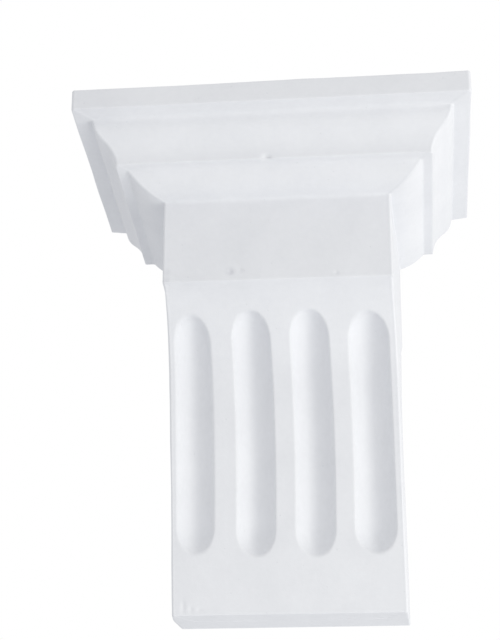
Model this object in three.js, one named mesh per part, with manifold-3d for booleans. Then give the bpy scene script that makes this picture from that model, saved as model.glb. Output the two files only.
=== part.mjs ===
// A cast plaster corbel: a moulded cap over a coved and fluted body, all one solid, flat at the back.
// Millimetres. X runs along the wall, +Y goes into the wall and +Z is up.
// The origin is the middle of the flat back, which lies in the plane Y = 0.
import * as THREE from "three";
import Module from "manifold-3d";
import { mergeVertices } from "three/addons/utils/BufferGeometryUtils.js";

const wasm = await Module();
wasm.setup();
const { degToRad } = THREE.MathUtils;

// Overall sizes
const capWidth = 200;
const projection = 125;
const height = 244;

// Cap mouldings from the top down: fascia, soffit, ogee, step and ovolo
const fasciaHeight = 13;
const soffitRun = 9;
const ogeeTurn = degToRad(55);
const ogeeConvexRadius = 10.5;
const ogeeConcaveRadius = 15;
const stepRun = 5.3;
const ovoloRun = 17.3;
const ovoloDrop = 10;
const ovoloTurn = degToRad(40);

// Body: an upright panel, a cove and a straight taper down to the thin lower end
const panelHeight = 45.5;
const coveRadius = 54;
const coveStart = degToRad(72);
const taperSlope = degToRad(12);
const sideDraft = 0.048;
const sideTaper = 0.0125;

// Flutes: one cutter with drawn-out round ends, run along the face of the body
const fluteCount = 4;
const fluteSpacing = 30;
const fluteWidth = 19.3;
const fluteDepth = 7;
const fluteEndStretch = 1.3;
const fluteGapAbove = 21.6;
const fluteGapBelow = 29.4;

// Facets
const mouldingSteps = 8;
const coveSteps = 18;
const fluteSides = 40;
const fluteSteps = 32;

// Levels and widths that follow from the sizes above
const topLevel = height / 2;
const bottomLevel = -height / 2;
const ogeeDrop = (ogeeConvexRadius + ogeeConcaveRadius) * Math.sin(ogeeTurn);
const ogeeRun = (ogeeConvexRadius + ogeeConcaveRadius) * (1 - Math.cos(ogeeTurn));
const neckDrop = fasciaHeight + ogeeDrop + ovoloDrop;
const neckInset = soffitRun + ogeeRun + stepRun + ovoloRun;
const neckDepth = projection - neckInset;
const neckHalfWidth = capWidth / 2 - neckInset;
const panelFoot = topLevel - neckDrop - panelHeight;

// Points of a circular arc, from one angle to another
function arc(centreX, centreY, radius, from, to, steps) {
  const curve = new THREE.EllipseCurve(centreX, centreY, radius, radius, from, to, to < from);
  return curve.getPoints(steps);
}

// Section of the cap as (inset from the fascia, drop from the top)
function capSection() {
  const ogeeInset = soffitRun;
  const ogeeTop = fasciaHeight;
  const convex = arc(
    ogeeInset + ogeeConvexRadius, ogeeTop, ogeeConvexRadius, Math.PI, Math.PI - ogeeTurn, mouldingSteps);
  const concave = arc(
    ogeeInset + ogeeRun - ogeeConcaveRadius, ogeeTop + ogeeDrop, ogeeConcaveRadius,
    -ogeeTurn, 0, mouldingSteps);
  const ovoloStart = new THREE.Vector2(ogeeInset + ogeeRun + stepRun, ogeeTop + ogeeDrop);
  return [
    new THREE.Vector2(0, 0),
    new THREE.Vector2(0, fasciaHeight),
    ...convex,
    ...concave.slice(1),
    ...ovolo(ovoloStart),
  ];
}

// Ovolo: a flat arc bulging outward between its upper and lower ends
function ovolo(start) {
  const chord = Math.hypot(ovoloRun, ovoloDrop);
  const chordAngle = Math.atan2(ovoloDrop, ovoloRun);
  const radius = chord / (2 * Math.sin(ovoloTurn / 2));
  const startAngle = chordAngle + ovoloTurn / 2;
  const centreX = start.x + radius * Math.sin(startAngle);
  const centreY = start.y - radius * Math.cos(startAngle);
  const from = startAngle + Math.PI / 2;
  return arc(centreX, centreY, radius, from, from - ovoloTurn, mouldingSteps);
}

// The face of the body below the panel, by the distance run down it: a cove, then the straight taper.
// Gives the point as (depth from the wall, level), the outward normal and the way down.
const coveLength = coveRadius * (coveStart - taperSlope);
const coveEnd = new THREE.Vector2(
  neckDepth - coveRadius * (Math.cos(taperSlope) - Math.cos(coveStart)),
  panelFoot - coveRadius * (Math.sin(coveStart) - Math.sin(taperSlope)));
const taperLength = (coveEnd.y - bottomLevel) / Math.cos(taperSlope);

function bodyFace(distance) {
  const lean = Math.max(coveStart - distance / coveRadius, taperSlope);
  const normal = new THREE.Vector2(Math.cos(lean), -Math.sin(lean));
  const downward = new THREE.Vector2(-Math.sin(lean), -Math.cos(lean));
  const point = coveEnd.clone();
  if (distance < coveLength) {
    point.x = neckDepth - coveRadius * (Math.cos(lean) - Math.cos(coveStart));
    point.y = panelFoot - coveRadius * (Math.sin(coveStart) - Math.sin(lean));
  } else {
    point.addScaledVector(downward, distance - coveLength);
  }
  return { point, normal, downward };
}

// A closed manifold from a three.js geometry, and back
function toManifold(geometry) {
  geometry.deleteAttribute("normal");
  geometry.deleteAttribute("uv");
  const merged = mergeVertices(geometry, 1e-4);
  return new wasm.Manifold(new wasm.Mesh({
    numProp: 3,
    vertProperties: new Float32Array(merged.attributes.position.array),
    triVerts: new Uint32Array(merged.index.array),
  }));
}

function toGeometry(solid) {
  const mesh = solid.getMesh();
  const geometry = new THREE.BufferGeometry();
  geometry.setAttribute("position", new THREE.BufferAttribute(new Float32Array(mesh.vertProperties), 3));
  geometry.setIndex(new THREE.BufferAttribute(new Uint32Array(mesh.triVerts), 1));
  geometry.computeVertexNormals();
  return geometry;
}

const axisX = new THREE.Vector3(1, 0, 0);
const axisY = new THREE.Vector3(0, 1, 0);
const axisZ = new THREE.Vector3(0, 0, 1);

// Side elevation of the whole corbel, run across the full width
function sideSlab() {
  const outline = [new THREE.Vector2(0, topLevel)];
  for (const { x: inset, y: drop } of capSection()) {
    outline.push(new THREE.Vector2(inset - projection, topLevel - drop));
  }
  for (let step = 0; step <= coveSteps; step += 1) {
    const { point } = bodyFace((coveLength * step) / coveSteps);
    outline.push(new THREE.Vector2(-point.x, point.y));
  }
  const { point: toe } = bodyFace(coveLength + taperLength);
  outline.push(new THREE.Vector2(-toe.x, toe.y), new THREE.Vector2(0, bottomLevel));
  const geometry = new THREE.ExtrudeGeometry(
    new THREE.Shape(outline), { depth: capWidth, bevelEnabled: false });
  geometry.applyMatrix4(new THREE.Matrix4().makeBasis(axisY, axisZ, axisX));
  geometry.translate(-capWidth / 2, 0, 0);
  return toManifold(geometry);
}

// Front elevation of the cap alone, run from the wall to the fascia
function capPrism() {
  const section = capSection();
  const right = section.map(({ x, y }) => new THREE.Vector2(capWidth / 2 - x, topLevel - y));
  const left = right.map(({ x, y }) => new THREE.Vector2(-x, y)).reverse();
  const geometry = new THREE.ExtrudeGeometry(
    new THREE.Shape([...right, ...left]), { depth: projection, bevelEnabled: false });
  geometry.applyMatrix4(new THREE.Matrix4().makeBasis(axisX, axisZ, axisY.clone().negate()));
  return toManifold(geometry);
}

// Body block: its sides lean in towards the front, and a little towards the lower end
function bodyBlock() {
  const blockTop = topLevel - fasciaHeight;
  const blockHeight = blockTop - bottomLevel;
  const geometry = new THREE.BoxGeometry(2, projection, blockHeight);
  geometry.translate(0, -projection / 2, (blockTop + bottomLevel) / 2);
  const position = geometry.attributes.position;
  for (let i = 0; i < position.count; i += 1) {
    const depth = -position.getY(i);
    const belowNeck = topLevel - neckDrop - position.getZ(i);
    const halfWidth = neckHalfWidth + sideDraft * (neckDepth - depth) - sideTaper * belowNeck;
    position.setX(i, position.getX(i) * halfWidth);
  }
  return toManifold(geometry);
}

// Line that the middle of a flute's cutter follows, parallel to the face of the body
class FluteLine extends THREE.Curve {
  constructor(x, start, end, standOff) {
    super();
    Object.assign(this, { x, start, end, standOff });
  }

  getPoint(t, target = new THREE.Vector3()) {
    const { point, normal } = bodyFace(THREE.MathUtils.lerp(this.start, this.end, t));
    point.addScaledVector(normal, this.standOff);
    return target.set(this.x, -point.x, point.y);
  }
}

// One flute's cutter: a round bar along the face with a stretched ball at either end
function fluteCutter(x) {
  const half = fluteWidth / 2;
  const radius = (half * half + fluteDepth * fluteDepth) / (2 * fluteDepth);
  const standOff = radius - fluteDepth;
  const endLength = half * fluteEndStretch;
  const start = fluteGapAbove + endLength;
  const end = coveLength + taperLength - fluteGapBelow - endLength;
  const line = new FluteLine(x, start, end, standOff);
  const ring = new THREE.Shape().absarc(0, 0, radius, 0, 2 * Math.PI);
  const bar = new THREE.ExtrudeGeometry(
    ring, { extrudePath: line, steps: fluteSteps, curveSegments: fluteSides / 2, bevelEnabled: false });
  const balls = [start, end].map((distance, index) => {
    const { downward } = bodyFace(distance);
    const way = new THREE.Vector3(0, -downward.x, downward.y);
    const ball = new THREE.SphereGeometry(radius, fluteSides, fluteSides / 2);
    ball.scale(1, fluteEndStretch, 1);
    ball.applyQuaternion(new THREE.Quaternion().setFromUnitVectors(axisY, way));
    ball.translate(...line.getPoint(index).toArray());
    return toManifold(ball);
  });
  return balls.reduce((cutter, ball) => cutter.add(ball), toManifold(bar));
}

function corbelGeometry() {
  let solid = sideSlab().intersect(capPrism().add(bodyBlock()));
  for (let index = 0; index < fluteCount; index += 1) {
    const x = fluteSpacing * (index - (fluteCount - 1) / 2);
    solid = solid.subtract(fluteCutter(x));
  }
  return toGeometry(solid);
}

const plaster = new THREE.MeshStandardMaterial({ color: 0xe4e6ea, roughness: 0.8, metalness: 0 });
const corbel = new THREE.Mesh(corbelGeometry(), plaster);
corbel.name = "corbel";

const part = new THREE.Group();
part.add(corbel);

export default part;
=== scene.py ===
# %% [markdown]
# # A plaster corbel, one casting in one mesh
# The corbel hangs on a wall. A moulded cap sits over an upright panel, and below the panel the body
# sweeps back in a cove and runs down in a thin taper with four flutes. It was cast in one pour, so it is
# modelled as one closed surface: a profile that runs from the top face down the front to the underside,
# carried round the plan from wall to wall. The solid model gives the frame and the overall box.

import bpy
import numpy as np
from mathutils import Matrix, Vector


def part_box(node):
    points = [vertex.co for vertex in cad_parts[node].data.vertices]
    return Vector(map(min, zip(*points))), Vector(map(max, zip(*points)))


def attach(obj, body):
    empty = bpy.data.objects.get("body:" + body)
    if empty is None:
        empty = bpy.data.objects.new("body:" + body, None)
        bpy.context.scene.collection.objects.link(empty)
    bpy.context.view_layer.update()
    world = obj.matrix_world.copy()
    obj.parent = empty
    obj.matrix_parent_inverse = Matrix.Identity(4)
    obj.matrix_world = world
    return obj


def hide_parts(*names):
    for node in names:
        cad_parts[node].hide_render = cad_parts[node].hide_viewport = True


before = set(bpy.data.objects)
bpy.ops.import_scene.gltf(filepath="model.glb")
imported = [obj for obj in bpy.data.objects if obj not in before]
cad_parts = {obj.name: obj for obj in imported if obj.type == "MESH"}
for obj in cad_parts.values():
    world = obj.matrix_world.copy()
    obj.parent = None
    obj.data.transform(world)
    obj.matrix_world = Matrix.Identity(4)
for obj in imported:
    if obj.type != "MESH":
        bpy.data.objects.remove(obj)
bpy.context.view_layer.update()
low, high = (np.array(corner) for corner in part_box("corbel"))
print("solid box in millimetres:", np.round((high - low) * 1000, 1))

# %% [markdown]
# ## Sizes
# The width, projection and height come from the solid, so the mesh always fits it. The mouldings are the
# sizes that a plasterer would cut into the running mould: a fascia, a soffit, an ogee made of two arcs, a
# step and a flat ovolo. All are in metres, written as millimetres times `mm`.

# %% Driving sizes of the casting
mm = 0.001
half_cap = (high[0] - low[0]) / 2
projection = high[1] - low[1]
top, bottom = high[2], low[2]

fascia_height = 13 * mm
soffit_run = 9 * mm
ogee_turn = np.radians(55)
ogee_convex, ogee_concave = 10.5 * mm, 15 * mm
step_run = 5.3 * mm
ovolo_run, ovolo_drop, ovolo_turn = 17.3 * mm, 10 * mm, np.radians(40)
panel_height = 45.5 * mm
cove_radius, cove_start, taper_slope = 54 * mm, np.radians(72), np.radians(12)
side_draft, side_taper = 0.048, 0.0125

ogee_run = (ogee_convex + ogee_concave) * (1 - np.cos(ogee_turn))
ogee_drop = (ogee_convex + ogee_concave) * np.sin(ogee_turn)
neck_inset = soffit_run + ogee_run + step_run + ovolo_run
neck_drop = fascia_height + ogee_drop + ovolo_drop
foot_drop = neck_drop + panel_height
print("neck: inset %.1f mm, drop %.1f mm" % (neck_inset / mm, neck_drop / mm))

# %% [markdown]
# ## The sharp profile
# A profile is drawn once, in two numbers: how far a point lies in from the fascia, and how far it lies
# below the top. It could be a Blender curve, but as an array it can be measured, softened and carried
# round the plan in whole-array steps. Here it is drawn sharp, as the mould was first cut.

# %% Draw the sharp profile as lines and arcs
fine_step = 0.1 * mm
rim = 10 * mm


def line(start, end):
    """Straight run: start plus an even share of the way to the end."""
    start, end = np.array(start), np.array(end)
    count = int(np.linalg.norm(end - start) / fine_step) + 2
    return start + np.linspace(0, 1, count)[:, None] * (end - start)


def arc(centre, radius, first, last):
    """Round run: centre plus radius times the cosine and sine of an angle going from first to last."""
    angle = np.linspace(first, last, int(abs(last - first) * radius / fine_step) + 2)
    return np.array(centre) + radius * np.stack([np.cos(angle), np.sin(angle)], axis=1)


def ovolo_arc(start):
    """Flat convex arc over a chord of ovolo_run by ovolo_drop, turning by ovolo_turn on the way."""
    chord_angle = np.arctan2(ovolo_drop, ovolo_run)
    radius = np.hypot(ovolo_run, ovolo_drop) / (2 * np.sin(ovolo_turn / 2))
    first = chord_angle + ovolo_turn / 2
    centre = np.array(start) + radius * np.array([np.sin(first), -np.cos(first)])
    return arc(centre, radius, first + np.pi / 2, first + np.pi / 2 - ovolo_turn)


ogee_foot = (soffit_run + ogee_run, fascia_height + ogee_drop)
cove_centre = np.array([
    neck_inset - cove_radius * np.cos(cove_start), foot_drop + cove_radius * np.sin(cove_start)])
cove_end = cove_centre + cove_radius * np.array([np.cos(taper_slope), -np.sin(taper_slope)])
taper_drop = (top - bottom) - cove_end[1]
toe = (cove_end[0] + taper_drop * np.tan(taper_slope), top - bottom)

runs = {
    "top face": line((rim, 0), (0, 0)),
    "fascia": line((0, 0), (0, fascia_height)),
    "soffit": line((0, fascia_height), (soffit_run, fascia_height)),
    "ogee, convex": arc((soffit_run + ogee_convex, fascia_height), ogee_convex, np.pi, np.pi - ogee_turn),
    "ogee, concave": arc((ogee_foot[0] - ogee_concave, ogee_foot[1]), ogee_concave, -ogee_turn, 0),
    "step": line(ogee_foot, (ogee_foot[0] + step_run, ogee_foot[1])),
    "ovolo": ovolo_arc((ogee_foot[0] + step_run, ogee_foot[1])),
    "panel": line((neck_inset, neck_drop), (neck_inset, foot_drop)),
    "cove": arc(cove_centre, cove_radius, -cove_start, -taper_slope),
    "taper": line(cove_end, toe),
    "underside": line(toe, (toe[0] + rim, toe[1])),
}


def length(points):
    """Distance run along a row of points: the running sum of the steps between them."""
    steps = np.linalg.norm(np.diff(points, axis=0), axis=1)
    return np.concatenate([[0], np.cumsum(steps)])


sharp = np.concatenate(list(runs.values()))
sharp_run = length(sharp)
ends = np.cumsum([len(points) for points in runs.values()]) - 1
run_end = {name: sharp_run[index] for name, index in zip(runs, ends)}
print("profile: %d points, %.0f mm long" % (len(sharp), sharp_run[-1] / mm))

# %% [markdown]
# ## Softened arrises
# On the casting every corner is soft: the mould was worn, the hollows were clogged, and the plaster was
# rubbed down. A bevel on each edge would need the edges picked out by hand. Instead each point of the
# finished profile is a weighted mean of the sharp one over a short bell-shaped window. Flat and gently
# curved runs stay where they are, and corners turn round. Each corner has its own wear, in millimetres.
# The front was rubbed most, so there are two profiles: a worn one for it and a crisper one for the sides.

# %% Choose where the rows lie, then soften the profile
least_wear, crisp_wear = 0.35 * mm, 0.6 * mm
wear_at = {
    "top face": 0.4, "fascia": 0.55, "soffit": 1.8, "ogee, concave": 0.45,
    "step": 2.2, "ovolo": 1.3, "panel": 0.4, "taper": 0.45}
wear_reach = 5 * mm
row_count, row_crowding, crowd_reach = 420, 1.8, 3 * mm
arrises = np.array([run_end[name] for name in wear_at])
arris_wear = np.array(list(wear_at.values())) * mm


def near(run, places, width):
    """Bell curves of one width about each place, in columns."""
    gap = np.asarray(run)[:, None] - np.asarray(places)[None, :]
    return np.exp(-((gap / width) ** 2))


def spread(span, count, density):
    """Place count stations over a span so that they crowd where density is high."""
    fine = np.linspace(span[0], span[1], 6000)
    share = np.cumsum(density(fine))
    share = (share - share[0]) / (share[-1] - share[0])
    return np.interp(np.linspace(0, 1, count), share, fine)


def by_arris(run):
    """Rows stand closer together along the arrises."""
    return 1 + row_crowding * near(run, arrises, crowd_reach).sum(axis=1)


def soften(run, most_wear):
    """Mean of inset, drop and run past the toe, weighted by a bell curve as wide as the wear there."""
    wear = least_wear + (near(run, arrises, wear_reach) * (most_wear - least_wear)).max(axis=1)
    weight = np.exp(-0.5 * ((run[:, None] - sharp_run[None, :]) / wear[:, None]) ** 2)
    weight *= np.gradient(sharp_run)[None, :]
    weight /= weight.sum(axis=1, keepdims=True)
    past_toe = np.maximum(sharp_run - run_end["taper"], 0)
    return weight @ np.column_stack([sharp, past_toe])


rows = spread((0, sharp_run[-1]), row_count, by_arris)
worn = soften(rows, arris_wear)
crisp = soften(rows, np.minimum(arris_wear, crisp_wear))
drop = worn[:, 1]
depth, level = projection - worn[:, 0], top - drop
print("rows: %d, closest %.2f mm apart" % (row_count, np.diff(rows).min() / mm))

# %% [markdown]
# ## Round the plan
# The second parameter goes round the plan: along the left side from the wall, round the left corner,
# across the front, round the right corner, back along the right side and then along the wall. Each
# station has three numbers: its share across the width, its share of the depth, and its turn about the
# corner. With them one formula places every station of every row, and the mouldings mitre by themselves.

# %% Stations round the plan
front_count, side_count, corner_count, back_count = 150, 22, 6, 14
flute_middle = np.array([-45.6, -15.2, 14.5, 44.2]) * mm
flute_width = np.array([17.7, 18.7, 18.9, 19.6]) * mm
flute_edges = np.concatenate([flute_middle - flute_width / 2, flute_middle + flute_width / 2])
half_neck = half_cap - neck_inset
cap_corner, body_corner = 1.8 * mm, 1.2 * mm


def crowd(share):
    """Stations stand closer together along the edges of the flutes."""
    return 1 + 0.9 * near(share, flute_edges / (half_neck - body_corner), 0.03).sum(axis=1)


front = spread((-1, 1), front_count + 2, crowd)[1:-1]
side = np.linspace(0, 1, side_count + 1)[:-1]
corner = np.linspace(np.pi / 2, 0, corner_count)
back = np.linspace(1, -1, back_count + 2)[1:-1]
side_ones, corner_ones, right_angle = np.ones(side_count), np.ones(corner_count), np.pi / 2

across = np.concatenate([-side_ones, -corner_ones, front, corner_ones, side_ones, back])
reach = np.concatenate([side, corner_ones, np.ones(front_count), corner_ones, side[::-1], 0 * back])
turn = np.concatenate([
    side_ones * right_angle, corner, 0 * front, corner[::-1],
    side_ones * right_angle, 0 * back + right_angle])
print("stations round the plan:", len(across))

# %% Carry the profile round the plan
join_softness = 0.8 * mm
crisp_share = 0.12
corner_change = 6 * mm


def soft_max(first, second, softness):
    """The larger of two arrays, blended over a short range where they are nearly equal."""
    return (first + second + np.sqrt((first - second) ** 2 + softness**2)) / 2


def body_half(reach_out, height):
    """Half width of the body: it narrows evenly towards the front and towards the lower end."""
    below_neck = top - neck_drop - height
    return half_neck + side_draft * (projection - neck_inset - reach_out) - side_taper * below_neck


rubbed = np.clip((1 - np.abs(across)) / crisp_share, 0, 1) * reach
inset_at, drop_at, past_toe_at = (
    side_line[:, None] + (front_line - side_line)[:, None] * rubbed
    for side_line, front_line in zip(crisp.T, worn.T))
depth_at, level_at = projection - inset_at, top - drop_at
below = np.clip((drop - neck_drop) / corner_change + 1, 0, 1)[:, None]
radius = cap_corner + (body_corner - cap_corner) * below
out = reach * (depth_at - radius) + radius * np.cos(turn)
cap_half = depth_at - (projection - half_cap)
half = soft_max(cap_half, body_half(out, level_at), join_softness) - past_toe_at
grid = np.stack([across * (half - radius + radius * np.sin(turn)), -out, level_at], axis=-1)
print("grid:", grid.shape)

# %% [markdown]
# ## Hand-made lines
# The mould was made by hand, so nothing is quite straight. The flutes bow to the right in the middle of
# their length, the right side is a little hollow along the wall, and the body hangs a fraction lower on
# the right. Three arrises stand up to a millimetre off their drawn level. A lattice could bend the finished
# mesh, but a few short formulas on the grid say more.

# %% Bend the grid like the hand-made mould
flute_bow, bow_place, bow_length = 0.5 * mm, 90 * mm, 142 * mm
side_hollow, hollow_level, hollow_length = 1.1 * mm, -16 * mm, 60 * mm
bow_fade, hollow_fade = 20 * mm, 10 * mm
out_of_level, level_at_top = 0.012, 0.35
nudge, nudge_reach = {"fascia": 1.0 * mm, "ovolo": 0.5 * mm, "panel": -0.7 * mm}, 6 * mm
face_run = (rows - run_end["panel"])[:, None]

bow = flute_bow * np.cos(2 * np.pi * (face_run - bow_place) / bow_length)
grid[..., 0] += bow * np.clip(face_run / bow_fade, 0, 1) * (1 - across**4)
hollow = side_hollow * np.exp(-(((level - hollow_level) / hollow_length) ** 2))[:, None]
grid[..., 0] -= hollow * (1 - reach) * np.clip(across, 0, 1) * np.clip(face_run / hollow_fade, 0, 1)
hang = level_at_top + (1 - level_at_top) * np.clip(drop / neck_drop, 0, 1)[:, None]
grid[..., 2] -= out_of_level * hang * grid[..., 0]
nudged = near(rows, [run_end[name] for name in nudge], nudge_reach) @ list(nudge.values())
grid[..., 2] += nudged[:, None]
print("hangs lower on the right by %.1f mm" % (2 * out_of_level * half_neck / mm))

# %% [markdown]
# ## Flutes
# Each flute is the track of a round cutter held a little proud of the face: its section is part of a
# circle, and its ends fade out like the end of a spoon. A boolean would leave ragged edges in the grid, so
# the cut is a depth at every point, pushed in along the face. The edge is blended over about a millimetre,
# which gives the rubbed arris between flute and fillet. No two flutes are exactly alike.

# %% Cut the flutes
flute_depth = np.array([5.8, 6.7, 6.6, 6.9]) * mm
flute_top = np.array([21.6, 20.0, 20.2, 22.3]) * mm
flute_end_gap = np.array([30.8, 29.0, 28.5, 29.4]) * mm
flute_top_length, flute_end_length = 15 * mm, 12.8 * mm
flute_edge_softness = 1.4 * mm
toe_run = run_end["taper"] - run_end["panel"]


def flute_cut(x, run):
    """Depth of the cutter's circle below the face, with the distance past an end counted sideways."""
    which = np.abs(x[..., None] - flute_middle).argmin(axis=-1)
    flute_half, deepest = flute_width[which] / 2, flute_depth[which]
    cutter = (flute_half**2 + deepest**2) / (2 * deepest)
    sideways = x - flute_middle[which]
    above = np.maximum(flute_top[which] + flute_top_length - run, 0) / flute_top_length
    lower = toe_run - flute_end_gap[which] - flute_end_length
    past = np.maximum(run - lower, 0) / flute_end_length
    endways = flute_half * (above + past)
    bare = np.sqrt(np.maximum(cutter**2 - sideways**2 - endways**2, 0)) - (cutter - deepest)
    return soft_max(bare, 0 * bare, flute_edge_softness)


face_slope = np.stack([np.gradient(depth, rows), np.gradient(level, rows)], axis=1)
face_slope /= np.linalg.norm(face_slope, axis=1, keepdims=True)
on_face = (turn == 0) & (reach == 1)
straight_x = across * (half - radius)
cut = flute_cut(straight_x, face_run) * on_face
grid[..., 1] -= cut * face_slope[:, 1, None]
grid[..., 2] -= cut * face_slope[:, 0, None]
print("deepest flute point: %.2f mm" % (cut.max() / mm))

# %% [markdown]
# ## A knocked corner
# The lower left corner by the wall has been knocked off. A chip is close to a flat break, so every point
# that stands proud of a plane is brought back to it, and the edge of the break is blended. A boolean
# with a block would do the same on the solid, but here the grid stays whole.

# %% Knock off the lower left corner
def knock(points, corner, direction, bite, blend=0.6 * mm):
    """Points less what stands proud of a plane set a bite below the corner, measured along its normal."""
    normal = np.array(direction) / np.linalg.norm(direction)
    proud = (points - np.array(corner)) @ normal + bite
    back = np.where(np.abs(proud) < blend, (proud + blend) ** 2 / (4 * blend), np.maximum(proud, 0))
    print("points in the chip:", np.count_nonzero(back))
    return points - back[..., None] * normal


low_corner = (-body_half(0, bottom), 0, bottom)
grid = knock(grid, low_corner, (-1, 0.18, -0.8), 3 * mm)

# %% [markdown]
# ## Marks of the casting
# No cast face is true: it rises and falls by a tenth of a millimetre or two over a few centimetres. A few
# air bubbles stayed in the plaster and opened as small holes. Both are moved into the mesh along its
# normals, because they change the outline and catch the light. The back stays flat for the wall.

# %% Swell the faces and open the air holes
swell, wall_margin = 0.16 * mm, 4 * mm
broad_wave, small_wave = 55 * mm, 18 * mm
rng = np.random.default_rng(7)


def ripple(points, wavelength, waves=14):
    """Mean of cosine waves in seeded random directions, each about one wavelength long."""
    heading = rng.normal(size=(waves, 3))
    heading /= np.linalg.norm(heading, axis=1, keepdims=True)
    pitch = 2 * np.pi / (wavelength * rng.uniform(0.7, 1.4, waves))
    phase = rng.uniform(0, 2 * np.pi, waves)
    return np.cos(points @ (heading * pitch[:, None]).T + phase).sum(axis=-1) / np.sqrt(waves)


def normals(points):
    """Cross product of the steps down the profile and round the plan, made one long."""
    down = np.gradient(points, axis=0)
    around = np.roll(points, -1, axis=1) - np.roll(points, 1, axis=1)
    outward = np.cross(down, around)
    return outward / np.maximum(np.linalg.norm(outward, axis=-1, keepdims=True), 1e-12)


# Each row holds a mark's place across, its place down the profile, its width, its height and its depth.
air_holes = np.array([
    (-3.2, run_end["ogee, concave"] / mm - 0.8, 1.7, 1.7, 1.5),
    (-23.6, run_end["ovolo"] / mm + 40.6, 1.2, 1.3, 0.5),
    (-18.2, run_end["ovolo"] / mm + 40.2, 0.9, 1.2, 0.35),
    (29.6, run_end["ovolo"] / mm + 43.0, 0.9, 0.9, 0.5),
    (-52.3, run_end["taper"] / mm - 4.6, 0.8, 3.0, 0.45),
    (-48.4, run_end["taper"] / mm - 3.2, 0.8, 1.6, 0.45),
    (-44.2, run_end["taper"] / mm - 2.8, 1.4, 0.9, 0.35),
]) * mm


def hole_depth(x, run):
    """Bell-shaped dips, the deepest at each mark's middle."""
    gap_x = (x[..., None] - air_holes[:, 0]) / air_holes[:, 2]
    gap_run = (run[..., None] - air_holes[:, 1]) / air_holes[:, 3]
    return (air_holes[:, 4] * np.exp(-(gap_x**2) - gap_run**2)).sum(axis=-1)


outward = normals(grid)
off_wall = np.clip(out / wall_margin, 0, 1)
lift = swell * (0.7 * ripple(grid, broad_wave) + 0.3 * ripple(grid, small_wave)) * off_wall
lift -= hole_depth(grid[..., 0], np.broadcast_to(rows[:, None], out.shape)) * on_face
grid = grid + lift[..., None] * outward
print("swell: %.2f to %.2f mm" % (lift.min() / mm, lift.max() / mm))

# %% [markdown]
# ## The mesh
# The grid closes on itself round the plan, and a single point in the middle of the top face and of the
# underside closes its two ends. So the surface has no hole and no loose seam. Faces run so that they look
# outwards. Edges sharper than 40 degrees, which are only those along the wall, keep a hard shade.

# %% Turn the grid into one closed mesh
def closed_mesh(name, points):
    """Quads between neighbours of a grid that wraps round, and a fan of triangles at either end."""
    count, width = points.shape[:2]
    index = np.arange(count * width).reshape(count, width)
    after = np.roll(index, -1, axis=1)
    quads = np.stack([index[:-1], index[1:], after[1:], after[:-1]], axis=-1).reshape(-1, 4)
    poles = np.stack([points[0].mean(axis=0), points[-1].mean(axis=0)])
    first, last = count * width, count * width + 1
    cap = np.stack([np.full(width, first), index[0], after[0]], axis=-1)
    base = np.stack([np.full(width, last), after[-1], index[-1]], axis=-1)
    mesh = bpy.data.meshes.new(name)
    vertices = np.concatenate([points.reshape(-1, 3), poles])
    mesh.from_pydata(vertices, [], quads.tolist() + cap.tolist() + base.tolist())
    mesh.shade_smooth()
    mesh.set_sharp_from_angle(angle=np.radians(40))
    return mesh


corbel_mesh = closed_mesh("plaster_corbel", grid)
corbel = bpy.data.objects.new("plaster_corbel", corbel_mesh)
bpy.context.collection.objects.link(corbel)
corbel_mesh.calc_loop_triangles()
print("triangles:", len(corbel_mesh.loop_triangles))

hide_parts("corbel")
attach(corbel, "root")

# %% [markdown]
# ## Plaster
# Dry cast plaster is a cool white, quite matt, and nearly even in tone. Close to, it has a faint cloudy
# mottle, a fine sanded grain and pinholes, and old dirt greys the left end of the fascia and the left of
# the panel. The pinholes are greyed as well, which is painted shade in the holes. Three node groups hold
# these effects: the cloudiness, the height of grain and pinholes, and the dirt. All work on object
# coordinates, so the pattern stays fixed to the casting at a true size.

# %% Node group: cloudy tone
def new_group(name, inputs, outputs):
    """A shader node group with float or vector sockets, and its input and output nodes."""
    tree = bpy.data.node_groups.new(name, "ShaderNodeTree")
    for socket, kind in inputs:
        tree.interface.new_socket(socket, in_out="INPUT", socket_type=kind)
    for socket, kind in outputs:
        tree.interface.new_socket(socket, in_out="OUTPUT", socket_type=kind)
    return tree, tree.nodes.new("NodeGroupInput"), tree.nodes.new("NodeGroupOutput")


def noise(tree, vector, scale, detail, roughness=0.55):
    """A noise texture of one scale on a coordinate socket; gives its value socket."""
    node = tree.nodes.new("ShaderNodeTexNoise")
    node.inputs["Scale"].default_value = scale
    node.inputs["Detail"].default_value = detail
    node.inputs["Roughness"].default_value = roughness
    tree.links.new(vector, node.inputs["Vector"])
    return node.outputs["Fac"]


def math(tree, operation, first, second):
    """One arithmetic node; either input may be a socket or a number."""
    node = tree.nodes.new("ShaderNodeMath")
    node.operation = operation
    for socket, value in zip(node.inputs, (first, second)):
        if isinstance(value, (int, float)):
            socket.default_value = value
        else:
            tree.links.new(value, socket)
    return node.outputs["Value"]


def cloud_group():
    """Cloudiness: broad blotches a few centimetres wide plus smaller ones of a few millimetres."""
    tree, given, result = new_group(
        "plaster_cloud", [("Position", "NodeSocketVector")], [("Cloud", "NodeSocketFloat")])
    broad = noise(tree, given.outputs["Position"], 45, 3)
    small = noise(tree, given.outputs["Position"], 320, 4)
    mixed = math(tree, "ADD", math(tree, "MULTIPLY", broad, 0.65), math(tree, "MULTIPLY", small, 0.35))
    tree.links.new(mixed, result.inputs["Cloud"])
    return tree


plaster_cloud = cloud_group()
print("node group:", plaster_cloud.name)

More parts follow.
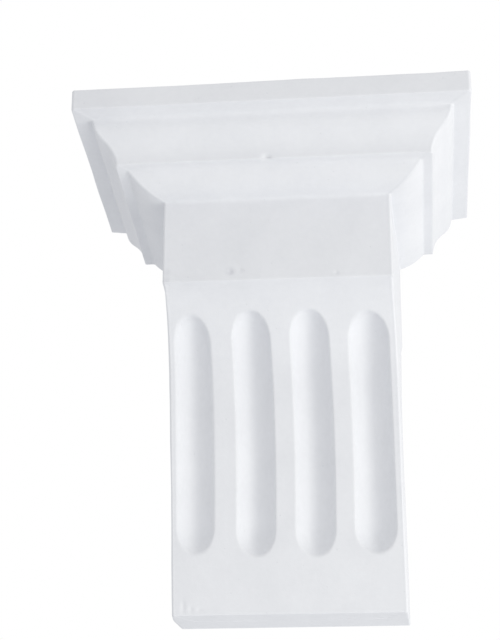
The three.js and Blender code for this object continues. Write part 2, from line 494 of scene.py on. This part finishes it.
# %% Node group: sanded grain and pinholes
def grain_group():
    """Height: fine sanded grain, less a round dip wherever a cell's own point is close enough; the dip's
    mask also goes out on its own, to paint shade into the pinholes.
    """
    tree, given, result = new_group(
        "plaster_grain", [("Position", "NodeSocketVector")],
        [("Height", "NodeSocketFloat"), ("Pinhole_shade", "NodeSocketFloat")])
    grain = noise(tree, given.outputs["Position"], 1500, 3)
    rubbed = noise(tree, given.outputs["Position"], 260, 2)
    cells = tree.nodes.new("ShaderNodeTexVoronoi")
    cells.inputs["Scale"].default_value = 120
    cells.inputs["Randomness"].default_value = 1.0
    tree.links.new(given.outputs["Position"], cells.inputs["Vector"])
    dip = tree.nodes.new("ShaderNodeMapRange")
    dip.interpolation_type = "SMOOTHSTEP"
    dip.inputs["From Min"].default_value = 0.035
    dip.inputs["From Max"].default_value = 0.06
    dip.inputs["To Min"].default_value = 1.0
    dip.inputs["To Max"].default_value = 0.0
    tree.links.new(cells.outputs["Distance"], dip.inputs["Value"])
    relief = math(tree, "ADD", math(tree, "MULTIPLY", grain, 0.3), math(tree, "MULTIPLY", rubbed, 0.7))
    height = math(tree, "SUBTRACT", relief, math(tree, "MULTIPLY", dip.outputs["Result"], 0.8))
    tree.links.new(height, result.inputs["Height"])
    # The pinhole mask goes out as well, to paint shade into the colour of the holes.
    tree.links.new(dip.outputs["Result"], result.inputs["Pinhole_shade"])
    return tree


plaster_grain = grain_group()
print("node group:", plaster_grain.name)

# %% Node group: old dirt
panel_y = neck_inset - projection
dirt_spots = [
    ((-0.088, -projection, 0.116), 0.036, 0.22),
    ((-0.038, panel_y, 0.052), 0.032, 0.15),
    ((-0.0236, panel_y, 0.0375), 0.0038, 0.9),
    ((-0.0182, panel_y, 0.038), 0.003, 0.4),
    ((-0.0555, panel_y, 0.0385), 0.0035, 0.5),
    ((-0.0558, panel_y, 0.0335), 0.0035, 0.6),
]


def dirt_group():
    """Dirt: a soft round patch about each spot, as dark as it is strong, broken up by noise."""
    tree, given, result = new_group(
        "plaster_dirt", [("Position", "NodeSocketVector")], [("Dirt", "NodeSocketFloat")])
    total = 0.0
    for place, size, strength in dirt_spots:
        away_from = tree.nodes.new("ShaderNodeVectorMath")
        away_from.operation = "DISTANCE"
        away_from.inputs[1].default_value = place
        tree.links.new(given.outputs["Position"], away_from.inputs[0])
        patch = tree.nodes.new("ShaderNodeMapRange")
        patch.interpolation_type = "SMOOTHSTEP"
        patch.inputs["From Max"].default_value = size
        patch.inputs["To Min"].default_value = strength
        patch.inputs["To Max"].default_value = 0.0
        tree.links.new(away_from.outputs["Value"], patch.inputs["Value"])
        total = math(tree, "ADD", total, patch.outputs["Result"])
    broken = noise(tree, given.outputs["Position"], 130, 3)
    tree.links.new(math(tree, "MULTIPLY", total, broken), result.inputs["Dirt"])
    return tree


plaster_dirt = dirt_group()
print("node group:", plaster_dirt.name, "with", len(dirt_spots), "patches")

# %% Material: dry cast plaster
def place_group(material, tree, position):
    """A node group in a material, fed with object coordinates."""
    node = material.node_tree.nodes.new("ShaderNodeGroup")
    node.node_tree = tree
    material.node_tree.links.new(position, node.inputs["Position"])
    return node


def ramp(material, value, dark, light):
    """Colour between two tones by a value; gives its colour socket."""
    node = material.node_tree.nodes.new("ShaderNodeValToRGB")
    node.color_ramp.elements[0].position = 0.3
    node.color_ramp.elements[1].position = 0.7
    node.color_ramp.elements[0].color = (*dark, 1)
    node.color_ramp.elements[1].color = (*light, 1)
    material.node_tree.links.new(value, node.inputs["Fac"])
    return node.outputs["Color"]


def plaster_material():
    """Cool white: cloudy tone and roughness, greyed by dirt and by painted shade in the pinholes, with the
    grain as relief.
    """
    material = bpy.data.materials.new("cast_plaster")
    material.use_nodes = True
    tree = material.node_tree
    shader = tree.nodes["Principled BSDF"]
    position = tree.nodes.new("ShaderNodeTexCoord").outputs["Object"]
    cloud = place_group(material, plaster_cloud, position).outputs["Cloud"]
    grain = place_group(material, plaster_grain, position)
    colour = ramp(material, cloud, (0.768, 0.78, 0.811), (0.81, 0.821, 0.851))
    dirt = place_group(material, plaster_dirt, position).outputs["Dirt"]
    # Grey the colour by the dirt patches plus painted shade in the pinholes.
    dirt_and_pinhole_shade = math(tree, "ADD", math(tree, "MULTIPLY", grain.outputs["Pinhole_shade"], 0.2), dirt)
    tint = tree.nodes.new("ShaderNodeMixRGB")
    tint.inputs["Color2"].default_value = (0.6, 0.61, 0.66, 1)
    tree.links.new(dirt_and_pinhole_shade, tint.inputs["Fac"])
    tree.links.new(colour, tint.inputs["Color1"])
    tree.links.new(tint.outputs["Color"], shader.inputs["Base Color"])
    rough = math(tree, "ADD", math(tree, "MULTIPLY", cloud, 0.25), 0.68)
    tree.links.new(rough, shader.inputs["Roughness"])
    shader.inputs["Specular IOR Level"].default_value = 0.3
    bump = tree.nodes.new("ShaderNodeBump")
    bump.inputs["Strength"].default_value = 0.35
    bump.inputs["Distance"].default_value = 0.3 * mm
    tree.links.new(grain.outputs["Height"], bump.inputs["Height"])
    tree.links.new(bump.outputs["Normal"], shader.inputs["Normal"])
    return material


cast_plaster = plaster_material()
corbel_mesh.materials.append(cast_plaster)
print("material:", cast_plaster.name)

# %% [markdown]
# ## Floor, light and camera
# The corbel is seen from below and a little to the right, as it would be on a wall above head height. The
# floor is far below, out of the picture. A soft key light from the right rakes across the front and shows
# the flutes. A fill light from the same side and one from below lift the soffits, and an even white
# surround opens the shadows. The three lights are faintly warm, so the shaded side looks cooler.

# %% Floor
def floor_plane(size, height):
    """A level square, four corners and one face."""
    half_size = size / 2
    corners = [(-half_size, -half_size, height), (half_size, -half_size, height),
               (half_size, half_size, height), (-half_size, half_size, height)]
    mesh = bpy.data.meshes.new("floor")
    mesh.from_pydata(corners, [], [(0, 1, 2, 3)])
    return bpy.data.objects.new("floor", mesh)


floor = floor_plane(12, bottom - 1.0)
bpy.context.collection.objects.link(floor)
pale = bpy.data.materials.new("pale_floor")
pale.use_nodes = True
pale.node_tree.nodes["Principled BSDF"].inputs["Base Color"].default_value = (0.82, 0.83, 0.85, 1)
pale.node_tree.nodes["Principled BSDF"].inputs["Roughness"].default_value = 0.9
floor.data.materials.append(pale)
print("floor: %.1f m below the corbel" % (bottom - floor.data.vertices[0].co.z))

# %% Light
def soft_box(name, place, aim, size, power, colour):
    """A square area light at a place, turned to face a point."""
    light = bpy.data.lights.new(name, "AREA")
    light.size = size
    light.energy = power
    light.color = colour
    lamp = bpy.data.objects.new(name, light)
    lamp.location = place
    lamp.rotation_euler = (Vector(aim) - Vector(place)).to_track_quat("-Z", "Y").to_euler()
    bpy.context.collection.objects.link(lamp)
    return lamp


middle = (0, -projection / 2, 0)
warm, faintly_warm = (1.0, 0.98, 0.91), (1.0, 0.99, 0.955)
soft_box("key", (1.363, -0.698, -0.547), middle, 0.4, 5.9, warm)
soft_box("fill", (0.98, -0.85, -0.72), middle, 0.7, 2.7, faintly_warm)
soft_box("under", (0.68, -0.22, -1.15), middle, 0.8, 4.0, faintly_warm)

world = bpy.data.worlds.new("studio")
world.use_nodes = True
bpy.context.scene.world = world
sky = world.node_tree.nodes["Background"]
seen = world.node_tree.nodes.new("ShaderNodeBackground")
seen.inputs["Color"].default_value = (1, 1, 1, 1)
seen.inputs["Strength"].default_value = 1.0
sky.inputs["Color"].default_value = (1, 1, 1, 1)
sky.inputs["Strength"].default_value = 0.812
mix = world.node_tree.nodes.new("ShaderNodeMixShader")
path = world.node_tree.nodes.new("ShaderNodeLightPath")
world.node_tree.links.new(path.outputs["Is Camera Ray"], mix.inputs["Fac"])
world.node_tree.links.new(sky.outputs["Background"], mix.inputs[1])
world.node_tree.links.new(seen.outputs["Background"], mix.inputs[2])
world.node_tree.links.new(mix.outputs["Shader"], world.node_tree.nodes["World Output"].inputs["Surface"])
bpy.context.scene.view_settings.view_transform = "Standard"
print("lights:", [light.name for light in bpy.data.lights])

# %% Camera
picture_height = 640
focal_pixels = 1726.8
aim = Vector((-0.0176, -0.0397, 0.0313))
distance, azimuth, elevation = 0.9, np.radians(5.38), np.radians(-26.81)
level_way = Vector((np.sin(azimuth), -np.cos(azimuth), 0))
away = level_way * np.cos(elevation) + Vector((0, 0, np.sin(elevation)))
lens = bpy.data.cameras.new("camera")
lens.sensor_width = 36
lens.lens = lens.sensor_width * focal_pixels / picture_height
camera = bpy.data.objects.new("camera", lens)
camera.location = aim + distance * away
camera.rotation_euler = (-away).to_track_quat("-Z", "Y").to_euler()
bpy.context.collection.objects.link(camera)
bpy.context.scene.camera = camera
print("lens: %.1f mm" % lens.lens)

# %% Finish
print("done")
